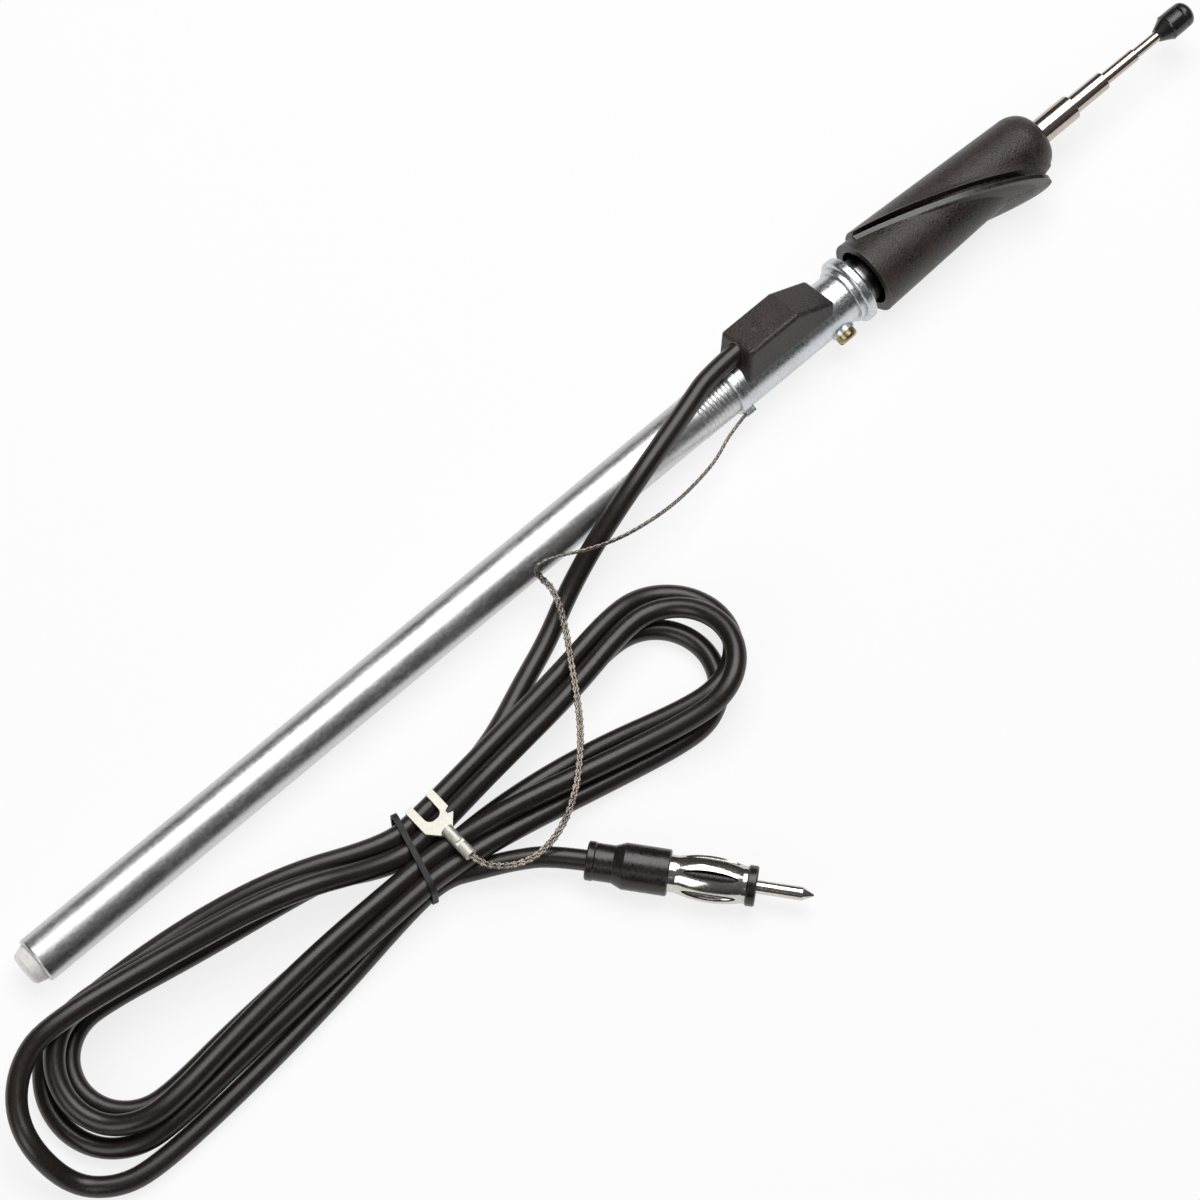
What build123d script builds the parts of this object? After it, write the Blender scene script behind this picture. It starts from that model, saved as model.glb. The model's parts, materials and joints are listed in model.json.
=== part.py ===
from build123d import *
import os
from math import atan2, cos, degrees, radians, sin, sqrt, tan

os.makedirs("parts", exist_ok=True)

# Fits between pieces, millimetres
press_gap = 0.02
tube_gap = 0.03
running_gap = 0.05

# Lengths along the aerial, from the lower rim of the tube upwards
tube_length = 249.8
end_plug_proud = 3.1
end_plug_depth = 6.0
end_plug_lip = 0.6
body_grip = 36.8
shoulder_gap = 0.2
lower_ring_height = 2.4
shoulder_thickness = 1.4
step_ring_height = 1.4
flange_thickness = 3.0
neck_length = 43.2
sleeve_lift = 3.4
sleeve_length = 28.0
sleeve_shoulder = 2.9
cap_end_gap = 1.2
sleeve_mouth_depth = 4.3
cap_length = 24.8
dome_height = 6.0
section_1_shown = 12.2
section_2_shown = 11.3
section_3_shown = 11.1
rod_shown = 8.0
knob_length = 11.2
knob_cone_length = 3.1
knob_dome_length = 2.1
knob_groove_width = 0.8
knob_rim_width = 0.8
knob_cover = 5.8
mast_lift = 25.0
section_2_rise = 21.0
section_3_rise = 18.0
rod_rise = 18.0
foot_1_length = 12.0
foot_2_length = 9.0
foot_3_length = 8.0
rod_foot_length = 7.0
foot_floor_thickness = 1.0
mouth_length = 0.9

# Radii, walls and steps of the turned pieces
tube_radius = 5.85
tube_wall = 1.0
tube_rim_round = 0.6
end_plug_face = 3.7
end_plug_chamfer = 0.5
body_wall = 0.82
lower_ring_proud = 0.25
ring_chamfer = 0.35
step_ring_proud = 0.9
step_ring_round = 0.4
flange_proud = 1.3
flange_round = 0.9
neck_radius = 6.1
neck_wall = 1.2
sleeve_foot_radius = 9.85
sleeve_taper = 0.037
cap_foot_radius = 10.9
cap_taper = 0.046
mouth_recess = 1.45
dome_corner = 4.4
cap_clearance = 0.4
section_1_radius = 3.35
section_1_wall = 0.4
section_1_space = 0.5
section_2_wall = 0.35
section_2_space = 0.425
section_3_wall = 0.2
section_3_space = 0.175
rod_neck_step = 0.32
knob_radius = 3.45
knob_foot_wall = 0.4
knob_cone_step = 0.3
knob_groove_depth = 0.45
knob_rim_step = 0.1
knob_flat = 0.4
foot_chamfer = 0.4
mast_rim = 0.2

# Slanting joint of the head
slant = 20.0
panel_gap = 1.5
seal_thickness = 1.3
seal_inset = 0.1
lip_thickness = 1.5
ledge_thickness = 0.8
ledge_root_inset = 0.1
lip_overhang_high = 1.2
tongue_overhang = 10.6
ledge_overhang_low = 0.6
side_overhang = 0.3
spigot_wall = 1.45
spigot_sink = 0.5
neck_end_gap = 0.5

# Split ring in the cap
lock_ring_height = 0.8
lock_ring_wall = 0.8
lock_ring_lift = 1.6
lock_ring_opening = 4.0
lock_groove_width = 1.2
lock_groove_depth = 0.9

# Connector block on the clamp body, and the contact inside it
block_roll = -16.8
block_width = 11.1
block_rise = 3.1
block_length = 29.9
block_front_slope = 3.5
block_flat = 15.6
block_heel = 1.1
block_foot = 2.9
block_shoulder = 7.3
block_roof = 0.4
block_round = 1.1
saddle_floor = 0.5
socket_length = 9.9
mould_mark_radius = 1.5
mould_mark_depth = 0.15
mould_mark_offset = 10.4
cable_radius = 2.5
contact_offset = 14.9
contact_length = 10.0
contact_wall = 0.8
contact_slot_width = 0.8
contact_pin_radius = 0.7
contact_hole_space = 1.0
bush_hole_space = 0.2
ring_room_space = 0.25
cable_end_gap = 0.5
cable_straight = 15.0
bush_end_gap = 0.8
bush_start = 1.0
wall_hole_radius = 1.3
guide_start = 6.2
guide_end_gap = 3.0

# Clamp screw and earth lug, angles round the axis from +Y
screw_angle = 197.5
screw_below_shoulder = 3.9
screw_shank_radius = 1.7
screw_head_radius = 2.65
screw_head_height = 2.2
screw_head_round = 0.9
screw_slot_width = 0.8
screw_slot_depth = 0.5
boss_radius = 3.1
boss_proud = 0.5
lug_angle = 205.0
lug_rise = 0.8
lug_proud = 0.45
lug_length = 2.6
lug_width = 2.3
lug_thickness = 1.9
lug_round = 0.5
braid_radius = 0.7
braid_bury = 1.0
braid_straight = 6.0
braid_drop = 1.2

# Aerial plug, stations from its own rear end
boot_start = 1.2
boot_collar = 2.0
boot_collar_radius = 4.6
boot_waist_end = 7.4
boot_waist_radius = 4.4
boot_flare_end = 9.9
boot_end = 20.4
boot_radius = 5.45
boot_edge = 0.3
sleeve_root = 12.0
sleeve_radius = 4.35
petal_wall = 0.45
petal_start = 22.6
petal_rise = 0.6
petal_lift = 0.1
petal_bulge_station = 30.2
petal_bulge_radius = 5.4
petal_end = 37.4
petal_tip_radius = 4.4
sleeve_end = 38.3
slot_count = 6
slot_half_length = 6.3
slot_half_width = 1.15
slot_station = 30.0
slot_turn = 12.0
insulator_root = 14.0
insulator_ring = 2.3
insulator_ring_proud = 0.35
pin_radius = 1.6
pin_root_radius = 1.4
pin_root = 13.0
pin_length = 10.6
pin_point = 2.6
pin_tip_radius = 0.25
lead_straight = 6.5
lead_bury = 6.0

# Hank of cable, its band and the fork that lies on it
hank_height = 10.8
tie_centre = (-104.4, -38.4)
tie_angle = 14.7
tie_width = 1.4
tie_thickness = 0.7
tie_span = 21.9
tie_round = 3.2
fork_place = (-95.65, -48.4)
barrel_radius = 1.5
barrel_length = 8.6
barrel_bore_depth = 6.0
crimp_station = 3.8
crimp_width = 0.8
crimp_depth = 0.45
fork_thickness = 0.8
fork_root = 8.0
fork_shoulder = 11.0
fork_slot_floor = 12.2
fork_tip = 18.4
fork_half_width = 4.2
fork_slot_half = 2.1
fork_slot_flare = 0.1
fork_root_half = 1.4
fork_round = 0.5
fork_slot_round = 1.7

# Stations that follow from the lengths
end_plug_end = -end_plug_proud
body_low = tube_length - body_grip
body_shoulder = tube_length + shoulder_gap
lower_ring_top = body_low + lower_ring_height
step_ring_low = body_shoulder + shoulder_thickness
flange_low = step_ring_low + step_ring_height
flange_top = flange_low + flange_thickness
neck_top = flange_top + neck_length
sleeve_low = flange_top + sleeve_lift
cap_edge_on_axis = sleeve_low + sleeve_length
dome_start = cap_edge_on_axis + cap_length
dome_top = dome_start + dome_height
shoulder_station = sleeve_low + sleeve_shoulder
cap_low = shoulder_station + cap_end_gap
section_1_top = dome_top + section_1_shown
section_2_top = section_1_top + section_2_shown
section_3_top = section_2_top + section_3_shown
knob_base = section_3_top + rod_shown
knob_top = knob_base + knob_length
rod_top = knob_top - knob_cover
section_1_low = end_plug_depth + mast_lift
section_2_low = section_1_low + section_2_rise
section_3_low = section_2_low + section_3_rise
rod_low = section_3_low + rod_rise
screw_station = body_shoulder - screw_below_shoulder
lug_station = body_low + lug_rise
block_low = body_low + block_rise
contact_station = block_low + contact_offset
socket_end = block_low + socket_length
block_angle = 90 + block_roll

# Radii that follow from the fits
tube_bore = tube_radius - tube_wall
body_bore = tube_radius + tube_gap
body_radius = body_bore + body_wall
lower_ring_radius = body_radius + lower_ring_proud
step_ring_radius = body_radius + step_ring_proud
flange_radius = step_ring_radius + flange_proud
neck_bore = neck_radius - neck_wall
head_bore = neck_radius + running_gap
sleeve_mouth = head_bore + mouth_recess
spigot_radius = head_bore + spigot_wall
cap_top_radius = cap_foot_radius - cap_taper * (dome_start - cap_low)
cap_hole = section_1_radius + cap_clearance
bore_1 = section_1_radius - section_1_wall
section_2_radius = bore_1 - section_1_space
bore_2 = section_2_radius - section_2_wall
section_3_radius = bore_2 - section_2_space
bore_3 = section_3_radius - section_3_wall
rod_radius = bore_3 - section_3_space
rod_neck_radius = rod_radius - rod_neck_step
mast_way = section_1_radius + running_gap
cable_height = body_radius + saddle_floor + cable_radius
block_top = cable_height + cable_radius + block_roof
screw_seat = body_radius + boss_proud
lug_radius = body_radius + lug_proud
contact_outer = mast_way + contact_wall
fork_floor = hank_height

# The aerial lies on the rim of the tube and on the foot of the head
tilt = degrees(atan2(sleeve_foot_radius - tube_radius, sleeve_low))
shift_x = -(knob_top + end_plug_end) / 2
shift_y = 0.5
shift_z = tube_radius * cos(radians(tilt))
lay = Pos(shift_x, shift_y, shift_z) * Rot(0, -tilt, 0)

# The aerial plug lies on the floor at the end of the cable
plug_rear = (-76.05, -64.05)
plug_angle = -51.5
plug_place = Pos(plug_rear[0], plug_rear[1], boot_radius) * Rot(0, 0, plug_angle)
tie_place = Pos(tie_centre[0], tie_centre[1], 0) * Rot(0, 0, -tie_angle)

# Cutting tools start and end this far outside the piece that they cut
overrun = 1.0
head_space_radius = 30.0

# Share of a run that an arc at its end may take, and how near an edge must be to be the one meant
corner_share = 0.45
edge_match = 0.01


def save(name, shape):
    export_step(shape, "parts/" + name + ".step")


def turned(points):
    return revolve(make_face(Polyline(*points, close=True)), Axis.X)


def rod_between(start, end, radius):
    return turned([(start, 0), (start, radius), (end, radius), (end, 0)])


def ring_between(start, end, inner, outer):
    return turned([(start, inner), (start, outer), (end, outer), (end, inner)])


def round_edges_at(shape, station, radius_of_edge, fillet_radius):
    chosen = []
    for edge in shape.edges().filter_by(GeomType.CIRCLE):
        if abs(edge.arc_center.X - station) < edge_match and abs(edge.radius - radius_of_edge) < edge_match:
            chosen.append(edge)
    return fillet(chosen, fillet_radius)


def radial(angle, start, end, radius, station):
    """A cylinder standing out from the axis; the angle is measured round +X from +Y."""
    peg = Cylinder(radius, end - start, align=(Align.CENTER, Align.CENTER, Align.MIN))
    return Pos(station, 0, 0) * Rot(angle - 90, 0, 0) * Pos(0, 0, start) * peg


def on_axis(distance):
    """Station where the slanting plane at this distance crosses the axis."""
    return cap_edge_on_axis + distance / sin(radians(slant))


def slant_plane(distance):
    """Plane of the head's joint; distance is along its normal from the cap's edge."""
    along = (cos(radians(slant)), -sin(radians(slant)), 0)
    normal = (sin(radians(slant)), cos(radians(slant)), 0)
    return Plane(origin=(on_axis(distance), 0, 0), x_dir=along, z_dir=normal)


def oval(distance, half_width, low_end, high_end):
    """Ellipse in the slanting plane, from low_end before the axis to high_end past it."""
    centre = (high_end - low_end) / 2
    half_length = (high_end + low_end) / 2
    return slant_plane(distance) * Pos(centre, 0) * Ellipse(half_length, half_width)


def corner_radii(points, closed=False):
    """Largest tangent arc at each corner that leaves a little of every run straight."""
    count = len(points)
    radii = []
    first = 0 if closed else 1
    last = count if closed else count - 1
    for index in range(first, last):
        here = Vector(*points[index])
        before = Vector(*points[index - 1]) - here
        after = Vector(*points[(index + 1) % count]) - here
        turn = radians(180 - before.get_angle(after))
        radii.append(corner_share * min(before.length, after.length) / tan(turn / 2))
    return radii


def cord(name, points, radius):
    radii = corner_radii(points)
    print(name, "bend radii", [round(value, 1) for value in radii])
    path = FilletPolyline(*points, radius=radii)
    start = Vector(*points[0])
    first_run = Vector(*points[1]) - start
    section = Plane(origin=start, z_dir=first_run) * Circle(radius)
    return sweep(section, path=path)


def outline(points):
    radii = corner_radii(points, closed=True)
    return make_face(FilletPolyline(*points, radius=radii, close=True))


# Protective tube and its end plug
tube = ring_between(0, tube_length, tube_bore, tube_radius)
tube = round_edges_at(tube, 0, tube_radius, tube_rim_round)
wall_hole = radial(block_angle, tube_bore - overrun, tube_radius + overrun, wall_hole_radius, contact_station)
save("protective_tube", lay * (tube - wall_hole))
end_plug_radius = tube_bore - running_gap
end_plug = turned([
    (end_plug_end, 0), (end_plug_end, end_plug_face),
    (end_plug_end + end_plug_chamfer, end_plug_face + end_plug_chamfer),
    (-end_plug_lip, end_plug_radius), (end_plug_depth, end_plug_radius), (end_plug_depth, 0),
])
save("tube_end_plug", lay * end_plug)

# Die-cast clamp body with its rings, flange, neck, screw boss and earth lug
body = turned([
    (body_low, body_bore), (body_low, lower_ring_radius - ring_chamfer),
    (body_low + ring_chamfer, lower_ring_radius), (lower_ring_top, lower_ring_radius),
    (lower_ring_top + lower_ring_proud, body_radius),
    (step_ring_low, body_radius), (step_ring_low, step_ring_radius),
    (flange_low, step_ring_radius), (flange_low, flange_radius),
    (flange_top, flange_radius), (flange_top, neck_radius),
    (neck_top, neck_radius), (neck_top, neck_bore),
    (body_shoulder, neck_bore), (body_shoulder, body_bore),
])
body = round_edges_at(body, flange_low, flange_radius, flange_round)
body = round_edges_at(body, flange_top, flange_radius, flange_round)
body = round_edges_at(body, step_ring_low, step_ring_radius, step_ring_round)
boss = radial(screw_angle, body_bore, screw_seat, boss_radius, screw_station)
lug_box = Box(lug_length, lug_width, lug_thickness, align=(Align.MIN, Align.CENTER, Align.CENTER))
lug = Rot(lug_angle - 90, 0, 0) * Pos(lug_station, 0, lug_radius) * lug_box
lug = fillet(lug.edges().filter_by(Axis.X), lug_round)
body = body + boss + lug
body = body - rod_between(body_low - overrun, body_shoulder, body_bore)
screw_hole = radial(screw_angle, tube_bore, screw_seat + overrun, screw_shank_radius + running_gap, screw_station)
contact_hole_radius = contact_pin_radius + contact_hole_space
contact_hole = radial(block_angle, tube_bore, body_radius + overrun, contact_hole_radius, contact_station)
save("clamp_body", lay * (body - screw_hole - contact_hole))

# Clamp screw with a domed, slotted head
screw_top = screw_seat + screw_head_height
screw_head = radial(screw_angle, screw_seat, screw_top, screw_head_radius, screw_station)
head_rim = screw_head.edges().filter_by(GeomType.CIRCLE)
far_rim = max(head_rim, key=lambda edge: sqrt(edge.arc_center.Y ** 2 + edge.arc_center.Z ** 2))
screw_head = fillet([far_rim], screw_head_round)
shank_top = screw_top - screw_head_round
shank = radial(screw_angle, tube_radius + press_gap, shank_top, screw_shank_radius, screw_station)
slot_box = Box(2 * screw_head_radius + overrun, screw_slot_width, 2 * screw_slot_depth)
slot = Pos(screw_station, 0, 0) * Rot(screw_angle - 90, 0, 0) * Pos(0, 0, screw_top) * slot_box
save("clamp_screw", lay * (screw_head + shank - slot))

# Connector block, a saddle on the clamp body with the cable's socket
block_high = block_low + block_length
block_flat_start = block_low + block_front_slope
block_side = make_face(Polyline(
    (block_low, block_foot), (block_flat_start, block_top), (block_flat_start + block_flat, block_top),
    (block_high, block_shoulder), (block_high - block_heel, block_foot), close=True,
))
block = extrude(Plane.XZ * block_side, amount=block_width / 2, both=True)
upper_edges = block.edges().filter_by(lambda edge: edge.center().Z > block_foot + block_round)
block = fillet(upper_edges, block_round)
block = block - rod_between(body_low - overrun, block_high + overrun, body_radius + press_gap)
ring_room = lower_ring_radius + cap_clearance
ring_room_end = lower_ring_top + lower_ring_proud + ring_room_space
block = block - rod_between(body_low - overrun, ring_room_end, ring_room)
socket = rod_between(body_low, socket_end, cable_radius + press_gap)
block = block - Pos(0, 0, cable_height) * socket
block = block - radial(90, 0, cable_height, contact_pin_radius + running_gap, contact_station)
mould_mark = radial(90, block_top - mould_mark_depth, block_top + overrun, mould_mark_radius,
                    block_low + mould_mark_offset)
block = Rot(block_roll, 0, 0) * (block - mould_mark)
save("connector_block", lay * block)

# Insulating bush, contact sleeve and contact pin
contact_low = contact_station - contact_length / 2
contact_high = contact_station + contact_length / 2
bush = ring_between(body_low + bush_start, tube_length - bush_end_gap, mast_way, tube_bore - press_gap)
bush = bush - rod_between(contact_low - running_gap, contact_high + running_gap, contact_outer + running_gap)
bush_hole_radius = contact_pin_radius + bush_hole_space
bush = bush - radial(block_angle, mast_way, tube_radius, bush_hole_radius, contact_station)
save("insulating_bush", lay * bush)
contact_sleeve = ring_between(contact_low, contact_high, mast_way, contact_outer)
contact_slot_box = Box(contact_length + overrun, contact_slot_width, 2 * (contact_wall + overrun))
contact_slot = Rot(block_roll + 180, 0, 0) * Pos(contact_station, 0, contact_outer) * contact_slot_box
save("contact_sleeve", lay * (contact_sleeve - contact_slot))
contact_pin = radial(block_angle, mast_way, cable_height - saddle_floor, contact_pin_radius, contact_station)
save("contact_pin", lay * (contact_pin - rod_between(contact_low, contact_high, contact_outer)))

# Guide bush in the neck
guide = ring_between(flange_top + guide_start, neck_top - guide_end_gap, mast_way, neck_bore - press_gap)
save("neck_guide_bush", lay * guide)

# Head sleeve, drawn in upwards, with its slanting ledge and tongue
gap_level = -panel_gap
ledge_level = gap_level - seal_thickness
ledge_foot = ledge_level - ledge_thickness


def sleeve_radius_at(station):
    return sleeve_foot_radius - sleeve_taper * (station - sleeve_low)


def cap_radius_at(station):
    return cap_foot_radius - cap_taper * (station - cap_low)


def reach(radius, taper):
    """Half length of the slanting cut of a cone, from the axis; the taper's sign picks its end."""
    return radius / (1 - taper / tan(radians(slant))) / sin(radians(slant))


ledge_radius = sleeve_radius_at(on_axis(ledge_level))
root_radius = sleeve_radius_at(on_axis(ledge_foot)) - ledge_root_inset
ledge_low_end = reach(ledge_radius, sleeve_taper) + ledge_overhang_low
ledge_high_end = reach(ledge_radius, -sleeve_taper) + tongue_overhang
head_space = rod_between(shoulder_station, knob_top, head_space_radius)
sleeve_cone = turned([
    (sleeve_low, 0), (sleeve_low, sleeve_foot_radius), (dome_top, sleeve_radius_at(dome_top)), (dome_top, 0),
])
sleeve = split(sleeve_cone, slant_plane(ledge_level), Keep.BOTTOM)
ledge = loft([
    oval(ledge_foot, root_radius, reach(root_radius, sleeve_taper), reach(root_radius, -sleeve_taper)),
    oval(ledge_level, ledge_radius + side_overhang, ledge_low_end, ledge_high_end),
])
shoulder = sleeve_cone & rod_between(sleeve_low, shoulder_station, head_space_radius)
sleeve = sleeve + (ledge & head_space) + shoulder
sleeve = sleeve - rod_between(sleeve_low - overrun, sleeve_low + sleeve_mouth_depth, sleeve_mouth)
sleeve = sleeve - rod_between(sleeve_low - overrun, knob_top, head_bore)
save("head_sleeve", lay * sleeve)

# Seal strip on the ledge
seal_oval = oval(ledge_level, ledge_radius + side_overhang - seal_inset, ledge_low_end - seal_inset,
                 ledge_high_end - seal_inset)
seal_space = rod_between(shoulder_station + running_gap, knob_top, head_space_radius)
seal = extrude(seal_oval, seal_thickness) & seal_space
seal = seal - rod_between(sleeve_low - overrun, knob_top, head_bore)
save("panel_seal", lay * seal)

# Head cap with its dome, slanting lip and the spigot that fills the gap's inside
corner_centre = cap_top_radius - dome_corner
profile = [
    Line((cap_low, 0), (cap_low, cap_foot_radius)),
    Line((cap_low, cap_foot_radius), (dome_start, cap_top_radius)),
    EllipticalCenterArc((dome_start, corner_centre), dome_height, dome_corner, start_angle=0, arc_size=90),
    Line((dome_top, corner_centre), (dome_top, 0)),
    Line((dome_top, 0), (cap_low, 0)),
]
dome = revolve(make_face(profile), Axis.X)
cap = split(dome, slant_plane(0), Keep.TOP)
lip_radius = cap_radius_at(cap_edge_on_axis)
lip_root_radius = cap_radius_at(on_axis(lip_thickness)) - running_gap
cap_space = rod_between(cap_low, knob_top, head_space_radius)
lip = loft([
    oval(0, lip_radius + side_overhang, reach(lip_radius, cap_taper),
         reach(lip_radius, -cap_taper) + lip_overhang_high),
    oval(lip_thickness, lip_root_radius, reach(lip_root_radius, cap_taper),
         reach(lip_root_radius, -cap_taper)),
])
spigot = split(rod_between(cap_low, dome_start, spigot_radius), slant_plane(gap_level), Keep.TOP)
spigot = split(spigot, slant_plane(spigot_sink), Keep.BOTTOM)
cap = cap + (lip & cap_space) + spigot
cap = cap - rod_between(sleeve_low - overrun, neck_top + neck_end_gap, head_bore)
cap = cap - rod_between(sleeve_low - overrun, dome_top + overrun, cap_hole)
lock_station = dome_start + lock_ring_lift
lock_groove_low = lock_station - lock_groove_width / 2
cap = cap - rod_between(lock_groove_low, lock_groove_low + lock_groove_width, cap_hole + lock_groove_depth)
save("head_cap", lay * cap)

# Split ring that grips the closed knob
lock_ring_inner = cap_hole + running_gap
lock_ring_low = lock_station - lock_ring_height / 2
lock_ring = ring_between(lock_ring_low, lock_ring_low + lock_ring_height, lock_ring_inner,
                         lock_ring_inner + lock_ring_wall)
lock_gap_box = Box(lock_ring_height + overrun, lock_ring_opening, 2 * (lock_ring_wall + overrun))
lock_gap = Pos(lock_station, 0, lock_ring_inner) * lock_gap_box
save("lock_spring", lay * (lock_ring - lock_gap))


def mast_tube(low, top, outer, bore, inner_piece_radius):
    """A mast tube whose mouth is drawn in round the next piece."""
    mouth = inner_piece_radius + running_gap
    mouth_low = top - mouth_length
    return turned([
        (low, bore), (low, outer), (top - mast_rim, outer), (top, outer - mast_rim),
        (top, mouth), (mouth_low, mouth), (mouth_low - (bore - mouth), bore),
    ])


# Mast sections, each with its guide foot
section_1 = mast_tube(section_1_low, section_1_top, section_1_radius, bore_1, section_2_radius)
section_2 = mast_tube(section_2_low, section_2_top, section_2_radius, bore_2, section_3_radius)
section_3 = mast_tube(section_3_low, section_3_top, section_3_radius, bore_3, rod_radius)
save("mast_section_1", lay * section_1)
save("mast_section_2", lay * section_2)
save("mast_section_3", lay * section_3)
foot_floor = section_1_low - foot_floor_thickness
foot_seat = section_1_radius + press_gap
foot_outer = tube_bore - running_gap
foot_1 = turned([
    (foot_floor, 0), (foot_floor, foot_outer - foot_chamfer), (foot_floor + foot_chamfer, foot_outer),
    (section_1_low + foot_1_length, foot_outer), (section_1_low + foot_1_length, foot_seat),
    (section_1_low, foot_seat), (section_1_low, 0),
])
save("mast_foot_1", lay * foot_1)
foot_2 = ring_between(section_2_low, section_2_low + foot_2_length,
                      section_2_radius + press_gap, bore_1 - running_gap)
save("mast_foot_2", lay * foot_2)
foot_3 = ring_between(section_3_low, section_3_low + foot_3_length,
                      section_3_radius + press_gap, bore_2 - running_gap)
save("mast_foot_3", lay * foot_3)

# Tip rod, its foot and the knob
rod_neck_end = rod_low + rod_foot_length
tip_rod = turned([
    (rod_low, 0), (rod_low, rod_neck_radius), (rod_neck_end, rod_neck_radius), (rod_neck_end, rod_radius),
    (rod_top, rod_radius), (rod_top, 0),
])
save("tip_rod", lay * tip_rod)
rod_foot = ring_between(rod_low, rod_neck_end, rod_neck_radius + press_gap, bore_3 - running_gap)
save("tip_rod_foot", lay * rod_foot)
knob_bore = rod_radius + press_gap
knob_bore_end = rod_top + press_gap
knob_dome_radius = knob_radius - knob_rim_step
knob_dome_start = knob_top - knob_dome_length
groove_high = knob_dome_start - knob_rim_width
groove_low = groove_high - knob_groove_width
knob_cone_end = knob_base + knob_cone_length
knob_side = Polyline(
    (knob_bore_end, 0), (knob_bore_end, knob_bore), (knob_base, knob_bore),
    (knob_base, knob_bore + knob_foot_wall), (knob_cone_end, knob_radius - knob_cone_step),
    (knob_cone_end + knob_cone_step, knob_radius), (groove_low, knob_radius),
    ((groove_low + groove_high) / 2, knob_radius - knob_groove_depth),
    (groove_high, knob_dome_radius), (knob_dome_start, knob_dome_radius),
)
knob_dome = EllipticalCenterArc((knob_dome_start, knob_flat), knob_dome_length, knob_dome_radius - knob_flat,
                                start_angle=0, arc_size=90)
knob_axis = Polyline((knob_top, knob_flat), (knob_top, 0), (knob_bore_end, 0))
knob = revolve(make_face(knob_side.edges() + [knob_dome] + knob_axis.edges()), Axis.X)
save("tip_knob", lay * knob)

# Cable from the block to the hank
block_up = (sin(radians(-block_roll)), cos(radians(-block_roll)))


def laid_point(station, up, height):
    """A point of the lying aerial, at a height from its axis along the direction up."""
    spot = lay * Pos(station, up[0] * height, up[1] * height)
    return (spot.position.X, spot.position.Y, spot.position.Z)


cable_start = socket_end - cable_end_gap
feed_points = [
    laid_point(cable_start, block_up, cable_height),
    laid_point(cable_start - cable_straight, block_up, cable_height),
    (16.5, 0.6, 17.8),
    (5.0, -2.4, 17.1),
    (-6.0, -5.1, 15.6),
    (-16.0, -7.3, 12.5),
    (-25.0, -9.3, 8.4),
    (-34.5, -12.4, 4.6),
    (-45.0, -17.4, 2.8),
    (-56.5, -21.6, 2.55),
    (-68.0, -26.4, 2.6),
    (-76.0, -28.6, 2.7),
]
save("cable_feed", cord("cable_feed", feed_points, cable_radius))

# Hank of cable as one solid with its two open centres
hank_outline = [
    (-100.5, -28.0), (-109.0, -28.4), (-122.0, -24.0), (-140.0, -18.6), (-160.0, -14.4), (-178.0, -12.8),
    (-192.0, -13.4), (-204.0, -18.4), (-211.8, -27.0), (-213.8, -37.0), (-211.0, -46.5), (-203.5, -54.0),
    (-192.0, -56.8), (-176.0, -56.6), (-156.0, -54.6), (-134.0, -51.2), (-112.0, -48.6), (-97.0, -48.6),
    (-80.0, -51.8), (-60.0, -57.0), (-42.0, -60.2), (-28.0, -60.2), (-16.0, -56.0), (-9.5, -47.5),
    (-8.2, -37.0), (-13.5, -27.0), (-24.0, -21.4), (-38.0, -20.8), (-58.0, -24.4), (-76.0, -27.4),
    (-90.0, -28.2),
]
far_opening = [
    (-122.5, -37.0), (-135.0, -33.4), (-150.0, -29.4), (-165.0, -25.6), (-180.0, -22.4), (-188.0, -22.6),
    (-192.6, -28.5), (-191.6, -35.0), (-185.0, -39.4), (-170.0, -40.2), (-150.0, -39.4), (-134.0, -38.4),
]
near_opening = [
    (-73.0, -38.6), (-60.0, -35.2), (-47.0, -32.6), (-36.0, -31.2), (-27.0, -32.6), (-21.9, -37.6),
    (-21.6, -44.6), (-25.4, -50.4), (-35.0, -50.2), (-48.0, -46.2), (-61.0, -42.0),
]
on_floor = (Align.CENTER, Align.CENTER, Align.MIN)
hank = extrude(outline(hank_outline), hank_height)
hank = hank - extrude(outline(far_opening), hank_height) - extrude(outline(near_opening), hank_height)
groove = Box(tie_width + 2 * running_gap, tie_span + 4 * tie_thickness, tie_thickness, align=on_floor)
save("cable_hank", hank - tie_place * groove)

# Band round the waist
tie_outer = Box(tie_width, tie_span, hank_height + tie_thickness, align=on_floor)
tie_outer = fillet(tie_outer.edges().filter_by(Axis.X), tie_round)
tie_inner_span = tie_span - 2 * tie_thickness
tie_inner = Box(tie_width + overrun, tie_inner_span, hank_height - tie_thickness, align=on_floor)
tie_inner = Pos(0, 0, tie_thickness) * fillet(tie_inner.edges().filter_by(Axis.X), tie_round - tie_thickness)
save("hank_tie", tie_place * (tie_outer - tie_inner))


def plug_point(along):
    spot = plug_place * Pos(along, 0, 0)
    return (spot.position.X, spot.position.Y, spot.position.Z)


# Cable from the hank to the plug
lead_points = [
    (-102.6, -46.6, 3.2),
    (-95.2, -49.3, 3.9),
    (-87.4, -53.7, 4.9),
    plug_point(-lead_straight),
    plug_point(lead_bury),
]
save("cable_plug_lead", cord("cable_plug_lead", lead_points, cable_radius))

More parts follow.
